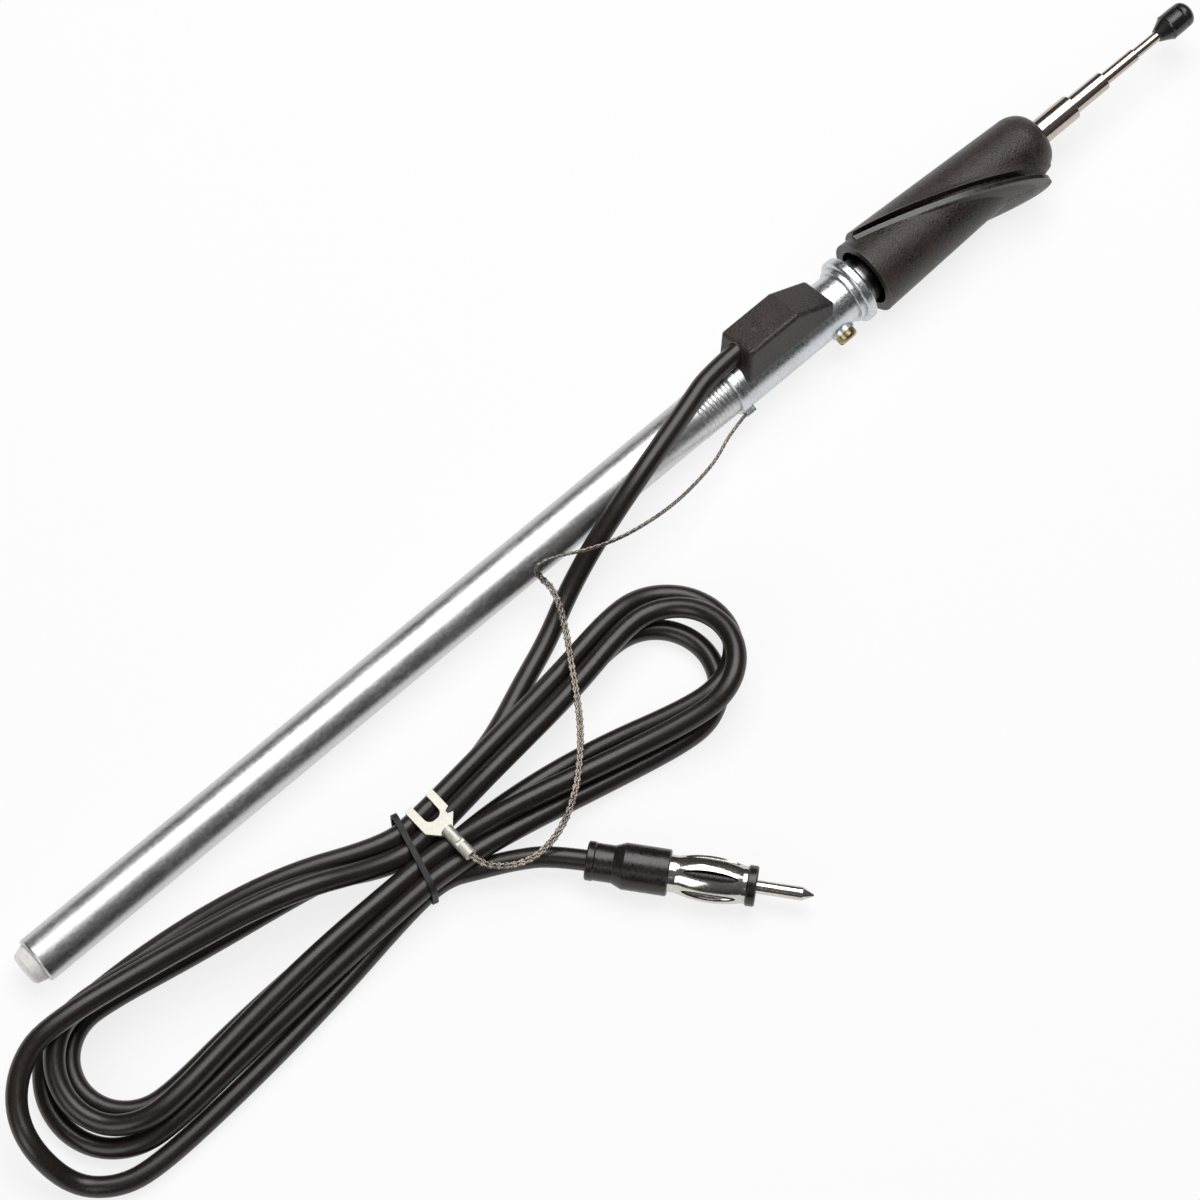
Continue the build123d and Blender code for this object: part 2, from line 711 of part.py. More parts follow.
# Aerial plug: boot, spring sleeve, insulator and pin
cable_way = cable_radius + press_gap
boot_bore = sleeve_radius + press_gap
boot_floor = sleeve_root - overrun / 2
boot_collar_end = boot_start + boot_collar
boot = turned([
    (boot_start, cable_way), (boot_start, boot_collar_radius - boot_edge),
    (boot_start + boot_edge, boot_collar_radius), (boot_collar_end - boot_edge, boot_collar_radius),
    (boot_collar_end, boot_waist_radius), (boot_waist_end, boot_waist_radius),
    (boot_flare_end, boot_radius), (boot_end - boot_edge, boot_radius), (boot_end, boot_radius - boot_edge),
    (boot_end, boot_bore), (boot_floor, boot_bore), (boot_floor, cable_way),
])
save("plug_boot", plug_place * boot)
petal_root = petal_start - petal_rise


def sleeve_line(inset):
    """Side of the spring sleeve from its root to its end, drawn in by the inset."""
    root_radius = sleeve_radius - inset
    tip_radius = petal_tip_radius - inset
    petal_first = (petal_start, root_radius + petal_lift)
    petal_last = (petal_end, tip_radius)
    return [
        Line((sleeve_root, root_radius), (petal_root, root_radius)),
        Line((petal_root, root_radius), petal_first),
        ThreePointArc(petal_first, (petal_bulge_station, petal_bulge_radius - inset), petal_last),
        Line(petal_last, (sleeve_end, tip_radius)),
    ]


sleeve_ends = [
    Line((sleeve_root, sleeve_radius - petal_wall), (sleeve_root, sleeve_radius)),
    Line((sleeve_end, petal_tip_radius - petal_wall), (sleeve_end, petal_tip_radius)),
]
plug_sleeve = revolve(make_face(sleeve_line(0) + sleeve_line(petal_wall) + sleeve_ends), Axis.X)
slot_shape = Plane.XY * Pos(slot_station, 0) * Ellipse(slot_half_length, slot_half_width)
slot_tool = extrude(slot_shape, petal_bulge_radius + overrun)
for index in range(slot_count):
    plug_sleeve = plug_sleeve - Rot(slot_turn + 360 / slot_count * index, 0, 0) * slot_tool
save("plug_sleeve", plug_place * plug_sleeve)
core_radius = sleeve_radius - petal_wall - running_gap
ring_radius = petal_tip_radius + insulator_ring_proud
ring_end = sleeve_end + insulator_ring
pin_way = pin_root_radius + press_gap
insulator = turned([
    (insulator_root, pin_way), (insulator_root, core_radius), (sleeve_end, core_radius),
    (sleeve_end, petal_tip_radius), (sleeve_end + boot_edge, ring_radius),
    (ring_end - boot_edge, ring_radius), (ring_end, ring_radius - boot_edge), (ring_end, pin_way),
])
save("plug_insulator", plug_place * insulator)
pin_shoulder = ring_end + pin_length
pin = turned([
    (pin_root, 0), (pin_root, pin_root_radius), (ring_end, pin_root_radius), (ring_end, pin_radius),
    (pin_shoulder, pin_radius), (pin_shoulder + pin_point, pin_tip_radius), (pin_shoulder + pin_point, 0),
])
save("plug_pin", plug_place * pin)

# Fork terminal, flat on the hank, with its crimp barrel
fork_blade = make_face(Polyline(
    (-fork_half_width, fork_tip), (-fork_slot_half - fork_slot_flare, fork_tip),
    (-fork_slot_half, fork_slot_floor), (fork_slot_half, fork_slot_floor),
    (fork_slot_half + fork_slot_flare, fork_tip), (fork_half_width, fork_tip),
    (fork_half_width, fork_shoulder), (fork_root_half, fork_root),
    (-fork_root_half, fork_root), (-fork_half_width, fork_shoulder), close=True,
))


def on_slot_floor(edge):
    return abs(edge.center().Y - fork_slot_floor) < edge_match


def on_outer_side(edge):
    return abs(edge.center().X) > fork_half_width - edge_match


blade = extrude(fork_blade, fork_thickness)
blade = fillet(blade.edges().filter_by(Axis.Z).filter_by(on_slot_floor), fork_slot_round)
blade = fillet(blade.edges().filter_by(Axis.Z).filter_by(on_outer_side), fork_round)
barrel_axis = Pos(0, 0, barrel_radius) * Rot(-90, 0, 0)
barrel = barrel_axis * Cylinder(barrel_radius, barrel_length, align=on_floor)
barrel_bore = barrel_axis * Cylinder(braid_radius + press_gap, barrel_bore_depth, align=on_floor)
crimp_box = Box(2 * barrel_radius + overrun, crimp_width, 2 * crimp_depth)
crimp = Pos(0, crimp_station, 2 * barrel_radius) * crimp_box
fork = blade + barrel - barrel_bore - crimp
save("fork_terminal", Pos(fork_place[0], fork_place[1], fork_floor) * fork)

# Earth braid from the lug to the fork
lug_up = (cos(radians(lug_angle)), sin(radians(lug_angle)))
barrel_height = fork_floor + barrel_radius
braid_points = [
    laid_point(lug_station + braid_bury, lug_up, lug_radius),
    laid_point(lug_station - braid_straight, lug_up, lug_radius + braid_drop),
    (16.0, -10.2, 5.6),
    (7.0, -12.2, 7.6),
    (-1.0, -13.6, 10.4),
    (-9.5, -13.8, 12.6),
    (-18.0, -12.6, 13.6),
    (-25.5, -9.8, 13.9),
    (-31.5, -6.4, 13.9),
    (-34.8, -4.9, 13.6),
    (-37.6, -4.8, 12.9),
    (-37.4, -7.2, 10.9),
    (-36.8, -9.8, 9.8),
    (-38.0, -13.8, 9.6),
    (-40.4, -18.0, 11.0),
    (-43.4, -23.0, 11.8),
    (-47.0, -28.4, 11.9),
    (-51.0, -34.6, 11.7),
    (-55.8, -41.4, 11.6),
    (-61.8, -47.8, 11.7),
    (-67.6, -52.6, 11.8),
    (-73.6, -56.2, 11.4),
    (-80.0, -58.0, 10.6),
    (-86.4, -57.6, 10.2),
    (-91.4, -55.2, 10.6),
    (fork_place[0], -51.0, barrel_height),
    (fork_place[0], -46.5, barrel_height),
]
save("earth_braid", cord("earth_braid", braid_points, braid_radius))
print("tilt", round(tilt, 4), "shift", round(shift_x, 3), shift_y, round(shift_z, 3))
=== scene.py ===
import json
from collections import namedtuple
from math import acos, atan2, cos, hypot, pi, radians, sin, sqrt

import bpy
from bpy.props import FloatProperty, FloatVectorProperty, IntProperty, PointerProperty
from mathutils import Matrix, Vector


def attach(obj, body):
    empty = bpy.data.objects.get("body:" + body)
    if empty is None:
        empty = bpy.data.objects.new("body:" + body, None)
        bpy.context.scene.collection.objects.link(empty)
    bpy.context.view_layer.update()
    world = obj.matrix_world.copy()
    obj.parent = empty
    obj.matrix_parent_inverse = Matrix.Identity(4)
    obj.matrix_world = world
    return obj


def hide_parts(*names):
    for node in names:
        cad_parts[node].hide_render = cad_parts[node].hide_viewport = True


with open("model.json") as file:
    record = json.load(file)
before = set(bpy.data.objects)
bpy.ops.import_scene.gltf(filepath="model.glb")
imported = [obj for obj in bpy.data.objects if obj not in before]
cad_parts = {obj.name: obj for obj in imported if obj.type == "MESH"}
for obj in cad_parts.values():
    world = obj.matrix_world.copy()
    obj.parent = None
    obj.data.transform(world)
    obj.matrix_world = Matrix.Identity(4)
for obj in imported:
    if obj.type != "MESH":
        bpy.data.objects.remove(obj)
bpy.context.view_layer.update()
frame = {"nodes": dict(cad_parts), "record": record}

bl_info = {
    "name": "Car mast aerial",
    "version": (1, 0, 0),
    "blender": (4, 5, 0),
    "location": "View3D > Sidebar > Aerial",
    "description": "Finishes, cords and fine details for the packed car mast aerial",
    "category": "Object",
}

slot_colour = {row["slot"]: row["base_color"] for row in frame["record"]["materials"]}

# The aerial's own axis: the middle of the tube's lower rim, how it lies, and where the neck starts on it
axis_start = Vector((-0.18435, 0.0005, 0.00585))
axis_tilt = radians(0.8841)
neck_start = 0.2556
aerial_lay = Matrix.Translation(axis_start) @ Matrix.Rotation(-axis_tilt, 4, "Y")

# Route of the cable from the block to the hank, and from the hank to the plug, as in the part's source
feed_route = [
    (0.04098, 0.0033, 0.01861), (0.02598, 0.0033, 0.01838), (0.0165, 0.0006, 0.0178),
    (0.005, -0.0024, 0.0171), (-0.006, -0.0051, 0.0156), (-0.016, -0.0073, 0.0125),
    (-0.025, -0.0093, 0.0084), (-0.0345, -0.0124, 0.0046), (-0.045, -0.0174, 0.0028),
    (-0.0565, -0.0216, 0.00255), (-0.068, -0.0264, 0.0026), (-0.076, -0.0286, 0.0027),
    (-0.084, -0.0302, 0.0028),
]
lead_route = [
    (-0.0952, -0.0493, 0.0039), (-0.0874, -0.0537, 0.0049), (-0.0801, -0.05896, 0.00545),
    (-0.07231, -0.06875, 0.00545),
]

# Route of the earth braid from the lug to the fork
braid_route = [
    (0.03047, -0.00598, 0.00614), (0.02348, -0.00707, 0.00553), (0.016, -0.0102, 0.0056),
    (0.007, -0.0122, 0.0076), (-0.001, -0.0136, 0.0104), (-0.0095, -0.0138, 0.0126),
    (-0.018, -0.0126, 0.0136), (-0.0255, -0.0098, 0.0139), (-0.0315, -0.0064, 0.0139),
    (-0.0348, -0.0049, 0.0136), (-0.0376, -0.0048, 0.0129), (-0.0374, -0.0072, 0.0109),
    (-0.0368, -0.0098, 0.0098), (-0.038, -0.0138, 0.0096), (-0.0404, -0.018, 0.011),
    (-0.0434, -0.023, 0.0118), (-0.047, -0.0284, 0.0119), (-0.051, -0.0346, 0.0117),
    (-0.0558, -0.0414, 0.0116), (-0.0618, -0.0478, 0.0117), (-0.0676, -0.0526, 0.0118),
    (-0.0736, -0.0562, 0.0114), (-0.08, -0.058, 0.0106), (-0.0864, -0.0576, 0.0102),
    (-0.0914, -0.0552, 0.0106), (-0.09565, -0.051, 0.0123), (-0.09565, -0.0465, 0.0123),
]

# Turns of the hank in the order of the cable: the circle each one bends round, how far its two runs bow,
# and when each half was laid down
Turn = namedtuple("Turn", "x y radius bow_out bow_back laid_out laid_back")
hank_turns = [
    Turn(-0.1824, -0.0296, 0.0131, -0.0002, -0.0016, 1, 1),
    Turn(-0.0257, -0.0388, 0.0151, -0.0045, -0.0010, 4, 4),
    Turn(-0.1868, -0.0322, 0.0169, 0.0066, -0.0005, 3, 3),
    Turn(-0.0336, -0.0431, 0.0147, -0.0010, -0.0008, 2, 2),
    Turn(-0.1846, -0.0316, 0.0150, 0.0036, -0.0013, 5, 5),
    Turn(-0.0281, -0.0433, 0.0143, -0.0013, -0.0017, 6, 6),
    Turn(-0.1945, -0.03565, 0.0178, 0.0032, 0.0016, 7, 1),
]

# Column and layer of each pass through the band, in the order of the cable
tie_passes = [(0, 0), (2, 0), (0.3, 1), (3, 1), (1, 0), (2.1, 1), (1.2, 1), (3, 0)]
tie_centre = (-0.1044, -0.0384)
tie_angle = radians(14.7)
tie_columns = 4
column_pitch = 0.00515
layer_heights = (0.0032, 0.0082)
pass_half_length = 0.005

# How a turn is laid: its spots in the bend and in a run, the room that two strands take, the slope and
# the reach of a climb, the stretch of itself that it leaves out, and its height on the floor
turn_steps = 7
run_shares = (0.3, 0.65)
lay_gap = 0.0055
lay_slope = 0.22
lay_reach = 0.06
own_reach = 0.025
floor_lay = 0.00255
Stop = namedtuple("Stop", "x y laid height")

# How finely the cords, the braid's strands and the thread are divided
cord_steps = 7
cord_roundness = 7
strand_steps_per_pitch = 12.0
strand_sides = 6
thread_steps = 48
ridge_sides = 8

# Where the lamps stand and how large they are, the room's greys, and the floor
key_place = (0.28, 0.2, 1.0)
key_size = (0.75, 1.0)
fill_place = (-0.9, -0.2, 0.6)
fill_size = (0.6, 0.6)
horizon_rise = 0.1
horizon_grey = 0.04
overhead_rise = 0.9
overhead_grey = 0.16
floor_white = 0.8
floor_half = 4.0


def add_node(tree, kind, inputs=None, **settings):
    """Adds a node, sets its options, and sets or links its inputs."""
    made = tree.nodes.new(kind)
    for key, value in settings.items():
        setattr(made, key, value)
    for key, value in (inputs or {}).items():
        socket = made.inputs[key]
        if isinstance(value, bpy.types.NodeSocket):
            tree.links.new(value, socket)
        else:
            socket.default_value = value
    return made


def math(tree, operation, *values):
    """Adds a Math node and gives its result."""
    return add_node(tree, "ShaderNodeMath", dict(enumerate(values)), operation=operation).outputs[0]


def link_to_scene(obj):
    bpy.context.scene.collection.objects.link(obj)
    return obj


def route_curve(name, points, radius=0.0):
    """A cord's smooth line with the route's points as its control points."""
    data = bpy.data.curves.new(name, "CURVE")
    data.dimensions = "3D"
    data.resolution_u = cord_steps
    data.bevel_depth = radius
    data.bevel_resolution = cord_roundness
    data.use_fill_caps = True
    spline = data.splines.new("NURBS")
    spline.points.add(len(points) - 1)
    for spot, point in zip(spline.points, points):
        spot.co = (*point, 1.0)
    spline.order_u = 3
    spline.use_endpoint_u = True
    return link_to_scene(bpy.data.objects.new(name, data))


def finished_mesh(obj):
    """The evaluated shape of an object as a plain mesh."""
    graph = bpy.context.evaluated_depsgraph_get()
    return bpy.data.meshes.new_from_object(obj.evaluated_get(graph), depsgraph=graph)


def line_points(points):
    """Points along the smooth line of a route."""
    guide = route_curve("route_guide", points)
    mesh = finished_mesh(guide)
    line = [vertex.co.copy() for vertex in mesh.vertices]
    bpy.data.meshes.remove(mesh)
    bpy.data.curves.remove(guide.data)
    return line


def line_length(line):
    return sum((after - before).length for before, after in zip(line, line[1:]))


def tie_spot(column, along):
    """A spot in a column of the band, some way along the cable."""
    across = (column - (tie_columns - 1) / 2) * column_pitch
    return (tie_centre[0] - across * sin(tie_angle) + along, tie_centre[1] - across * cos(tie_angle))


def bowed_run(begin, end, bow):
    """Spots along a run that bows to one side, as a parabola does."""
    dx = end[0] - begin[0]
    dy = end[1] - begin[1]
    length = hypot(dx, dy)
    spots = []
    for share in run_shares:
        push = 4 * bow * share * (1 - share) / length
        spots.append((begin[0] + dx * share + dy * push, begin[1] + dy * share - dx * push))
    return spots


def turn_spots(turn, begin, end):
    """Spots of one turn: a run out, the bend and a run back."""
    # A run meets the bend at its tangent, turned by the slope at the end of the run's bow
    def touch_angle(spot, side, bow):
        reach = hypot(spot[0] - turn.x, spot[1] - turn.y)
        toward = atan2(spot[1] - turn.y, spot[0] - turn.x)
        run = sqrt(reach ** 2 - turn.radius ** 2)
        return toward + side * (acos(turn.radius / reach) + 4 * bow / run)
    first = touch_angle(begin, 1, turn.bow_out)
    last = touch_angle(end, -1, turn.bow_back)
    while last < first:
        last += 2 * pi
    step = (last - first) / (turn_steps - 1)
    outer = turn.radius / cos(step / 2)
    bend = []
    for index in range(turn_steps):
        angle = first + step * index
        bend.append((turn.x + outer * cos(angle), turn.y + outer * sin(angle)))
    return bowed_run(begin, bend[0], turn.bow_out) + bend + bowed_run(bend[-1], end, turn.bow_back)


def hank_stops():
    """Route of the hank in plan; only the passes through the band have their heights yet."""
    stops = []
    for number, (column, layer) in enumerate(tie_passes):
        heading = 1 if number % 2 else -1
        height = layer_heights[layer]
        stops.append(Stop(*tie_spot(column, -heading * pass_half_length), 0, height))
        stops.append(Stop(*tie_spot(column, heading * pass_half_length), 0, height))
        if number == len(hank_turns):
            break
        turn = hank_turns[number]
        end = tie_spot(tie_passes[number + 1][0], heading * pass_half_length)
        spots = turn_spots(turn, stops[-1][:2], end)
        for index, spot in enumerate(spots):
            laid = turn.laid_out if index < len(spots) / 2 else turn.laid_back
            stops.append(Stop(*spot, laid, None))
    return stops


def laid_route(stops):
    """Gives every stop its height: each turn lies on the floor or on what was laid before it."""
    line = line_points([(stop.x, stop.y, 0) for stop in stops])
    # The stop that each point of the line belongs to
    end = len(line) - 1
    spans = len(stops) - 2
    owners = [min(round(index / end * spans + 0.5), len(stops) - 1) for index in range(len(line))]
    along = [0.0]
    for before, after in zip(line, line[1:]):
        along.append(along[-1] + (after - before).length)
    laid = [stops[owner].laid for owner in owners]
    held = [stops[owner].height for owner in owners]
    height = [floor_lay if value is None else value for value in held]
    done = [index for index, value in enumerate(held) if value is not None]
    # A turn lies on the lower passes and on the feed, and not on the upper passes
    upper = layer_heights[1]
    under = [index for index in done if held[index] < upper]
    under += [index for index in done if held[index] > upper and index < len(line) / 2]
    for turn_number in range(1, len(hank_turns) + 1):
        mine = [index for index, number in enumerate(laid) if number == turn_number and held[index] is None]
        rest = {index: height[index] for index in done}
        for index in mine:
            rest[index] = floor_lay
            for other in under:
                gap = (line[other] - line[index]).length
                if gap < lay_gap and abs(along[other] - along[index]) > own_reach:
                    rest[index] = max(rest[index], height[other] + sqrt(lay_gap ** 2 - gap ** 2))
        for index in mine:
            ramp = [rest[other] - lay_slope * abs(along[other] - along[index]) for other in rest
                    if abs(along[other] - along[index]) < lay_reach]
            height[index] = max(ramp)
        done += mine
        under += mine
    route = []
    for number, stop in enumerate(stops):
        own = sorted(height[index] for index, owner in enumerate(owners) if owner == number)
        route.append((stop.x, stop.y, own[len(own) // 2] if stop.height is None else stop.height))
    return route


def cable_route():
    """The whole cable: the feed, the hank's turns and the lead to the plug."""
    before = [Stop(x, y, 0, z) for x, y, z in feed_route]
    after = [Stop(x, y, 0, z) for x, y, z in lead_route]
    return laid_route(before + hank_stops() + after)


class CordSettings(bpy.types.PropertyGroup):
    """Sizes of the cable and of the earth braid."""
    cable_diameter: FloatProperty(
        name="Cable diameter", description="Thickness of the coaxial cable's jacket",
        default=0.005, unit="LENGTH")
    braid_width: FloatProperty(
        name="Braid width", description="Width of the flat earth braid",
        default=0.0019, unit="LENGTH")
    braid_thickness: FloatProperty(
        name="Braid thickness", description="Thickness of the flat earth braid",
        default=0.001, unit="LENGTH")
    braid_strands: IntProperty(
        name="Braid strands", description="Strands of the braid, half in each direction", default=8)
    braid_pitch: FloatProperty(
        name="Braid pitch", description="Length in which a strand goes once round",
        default=0.0075, unit="LENGTH")
    strand_radius: FloatProperty(
        name="Strand radius", description="Half the thickness of one strand",
        default=0.00022, unit="LENGTH")
    turn_start: FloatProperty(
        name="Turn start", description="Way along the braid where it starts to lie flat",
        default=0.055, unit="LENGTH")
    turn_end: FloatProperty(
        name="Turn end", description="Way along the braid where it lies flat",
        default=0.085, unit="LENGTH")


class ThreadSettings(bpy.types.PropertyGroup):
    """Sizes of the fine thread on the tube."""
    start: FloatProperty(
        name="Start", description="Way up the tube where the thread starts",
        default=0.2022, unit="LENGTH")
    length: FloatProperty(
        name="Length", description="Length of the thread that shows",
        default=0.0105, unit="LENGTH")
    turns: FloatProperty(
        name="Turns", description="Turns of the thread that show", default=9.0)
    radius: FloatProperty(
        name="Radius", description="Radius of the thread's middle line",
        default=0.00572, unit="LENGTH")
    ridge: FloatProperty(
        name="Ridge", description="Half the thickness of the ridge",
        default=0.0003, unit="LENGTH")


class FinishSettings(bpy.types.PropertyGroup):
    """Colours of the main finishes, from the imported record."""
    tube: FloatVectorProperty(
        name="Tube", description="Satin aluminium of the tube", subtype="COLOR",
        default=slot_colour["tube_aluminium"])
    casting: FloatVectorProperty(
        name="Casting", description="Plated casting of the clamp body", subtype="COLOR",
        default=slot_colour["zinc_casting"])
    moulding: FloatVectorProperty(
        name="Moulding", description="Black moulded plastic", subtype="COLOR",
        default=slot_colour["black_moulding"])
    jacket: FloatVectorProperty(
        name="Jacket", description="Black jacket of the cable", subtype="COLOR",
        default=slot_colour["cable_black"])
    chrome: FloatVectorProperty(
        name="Mast", description="Polished plating of the mast", subtype="COLOR",
        default=slot_colour["mast_chrome"])


class StageSettings(bpy.types.PropertyGroup):
    """Camera, floor and lamps."""
    camera_place: FloatVectorProperty(
        name="Camera", description="Where the camera stands", subtype="XYZ",
        default=(-0.27888, -0.29471, 0.84138))
    camera_aim: FloatVectorProperty(
        name="Aim", description="Point that the camera looks at", subtype="XYZ",
        default=(-0.02762, -0.01686, 0.0))
    camera_lens: FloatProperty(
        name="Lens", description="Focal length in millimetres", default=116.34)
    floor_colour: FloatVectorProperty(
        name="Floor", description="Colour of the floor", subtype="COLOR",
        default=(0.9, 0.9, 0.9))
    key_power: FloatProperty(
        name="Key lamp", description="Power of the wide lamp above",
        default=11.0, unit="POWER")
    fill_power: FloatProperty(
        name="Fill lamp", description="Power of the weaker lamp beside the tube's end",
        default=3.0, unit="POWER")


def socket_group(name, kind, inputs, outputs):
    """A node group with named sockets; gives the tree with its input and output nodes."""
    tree = bpy.data.node_groups.new(name, kind)
    for label, socket_type, *value in inputs:
        socket = tree.interface.new_socket(label, in_out="INPUT", socket_type=socket_type)
        if value:
            socket.default_value = value[0]
    for label, socket_type in outputs:
        tree.interface.new_socket(label, in_out="OUTPUT", socket_type=socket_type)
    return tree, tree.nodes.new("NodeGroupInput"), tree.nodes.new("NodeGroupOutput")


def noise_group(name, output, low, high, **values):
    """A noise whose middle values, from low to high, are spread out from 0 to 1."""
    tree, given, result = socket_group(
        name, "ShaderNodeTree",
        [("Vector", "NodeSocketVector"), ("Scale", "NodeSocketFloat")],
        [(output, "NodeSocketFloat")])
    noise = add_node(tree, "ShaderNodeTexNoise", {
        "Vector": given.outputs["Vector"], "Scale": given.outputs["Scale"], **values})
    spread = add_node(tree, "ShaderNodeMapRange", {
        "Value": noise.outputs["Fac"], "From Min": low, "From Max": high})
    tree.links.new(spread.outputs["Result"], result.inputs[output])
    return tree


def grain_group():
    """Fine even grain, as on a moulded or tumbled surface."""
    return noise_group("Fine grain", "Grain", low=0.36, high=0.64, Detail=3.0, Roughness=0.6)


def patch_group():
    """Broad soft patches, as handling and plating leave on a surface."""
    return noise_group("Soft patches", "Patches", low=0.3, high=0.7, Detail=4.0, Distortion=0.4)


def line_group():
    """Fine lines along the aerial, as drawing or polishing leaves them."""
    tree, given, result = socket_group(
        "Drawn lines", "ShaderNodeTree",
        [("Vector", "NodeSocketVector"), ("Scale", "NodeSocketFloat", 1500.0)],
        [("Lines", "NodeSocketFloat")])
    along_scale = 0.02
    stretched = add_node(tree, "ShaderNodeMapping", {
        "Vector": given.outputs["Vector"], "Rotation": (0.0, axis_tilt, 0.0),
        "Scale": (along_scale, 1.0, 1.0)})
    noise = add_node(tree, "ShaderNodeTexNoise", {
        "Vector": stretched.outputs["Vector"], "Scale": given.outputs["Scale"], "Detail": 2.0})
    tree.links.new(noise.outputs["Fac"], result.inputs["Lines"])
    return tree


def aerial_place(tree, place):
    """Splits a place into the aerial's own axes: X along it from the tube's rim, Z up from its middle."""
    level = add_node(tree, "ShaderNodeMapping", {
        "Vector": place, "Location": axis_start, "Rotation": (0.0, -axis_tilt, 0.0)}, vector_type="TEXTURE")
    return add_node(tree, "ShaderNodeSeparateXYZ", {"Vector": level.outputs["Vector"]})


def seam_group():
    """Thin raised line along both sides of the aerial, where the halves of a mould met."""
    tree, given, result = socket_group(
        "Parting line", "ShaderNodeTree",
        [("Vector", "NodeSocketVector"), ("Half width", "NodeSocketFloat", 0.0002)],
        [("Seam", "NodeSocketFloat")])
    height = aerial_place(tree, given.outputs["Vector"]).outputs["Z"]
    away = math(tree, "DIVIDE", math(tree, "ABSOLUTE", height), given.outputs["Half width"])
    seam = add_node(tree, "ShaderNodeMapRange", {
        "Value": away, "To Min": 1.0, "To Max": 0.0}, interpolation_type="SMOOTHSTEP")
    tree.links.new(seam.outputs["Result"], result.inputs["Seam"])
    return tree


def edge_group():
    """Rubbed outer edges, which also carry a painted highlight: where another face of the piece is close
    behind the surface.
    """
    tree, given, result = socket_group(
        "Rubbed edges and painted highlight", "ShaderNodeTree",
        [("Width", "NodeSocketFloat", 0.0003)],
        [("Edge", "NodeSocketFloat")])
    depth = add_node(tree, "ShaderNodeAmbientOcclusion", {
        "Distance": given.outputs["Width"]}, inside=True, only_local=True, samples=4)
    edge = add_node(tree, "ShaderNodeMapRange", {
        "Value": depth.outputs["AO"], "From Min": 0.9, "From Max": 0.5}, interpolation_type="SMOOTHSTEP")
    tree.links.new(edge.outputs["Result"], result.inputs["Edge"])
    return tree


# A finish has a dark and a light colour and a low and a high roughness, mixed by the grain and the patches.
# The grain's pair is its scale and its depth; depths are in metres.
Finish = namedtuple(
    "Finish", "dark light rough grain patches metallic coat lines seam wear", defaults=(0.0,) * 5)
grain_share = 0.6
# Grey of the rubbed edges: partly real rubbing, partly a painted highlight along the edges
rubbed_and_highlight_grey = (0.12, 0.115, 0.11)
rubbed_smoothing = 0.4
# Painted dark reflection of the head on the casting's neck, and the length over which it fades in
neck_reflection_colour = (0.05, 0.048, 0.046)
neck_fade = 0.002
glossy_nodes = ("plug_boot", "plug_insulator")


def shade(colour, factor):
    return tuple(min(1.0, channel * factor) for channel in colour)


def warm(colour, share):
    """More red and less blue by a share."""
    return (min(1.0, colour[0] * (1 + share)), colour[1], colour[2] * (1 - share / 2))


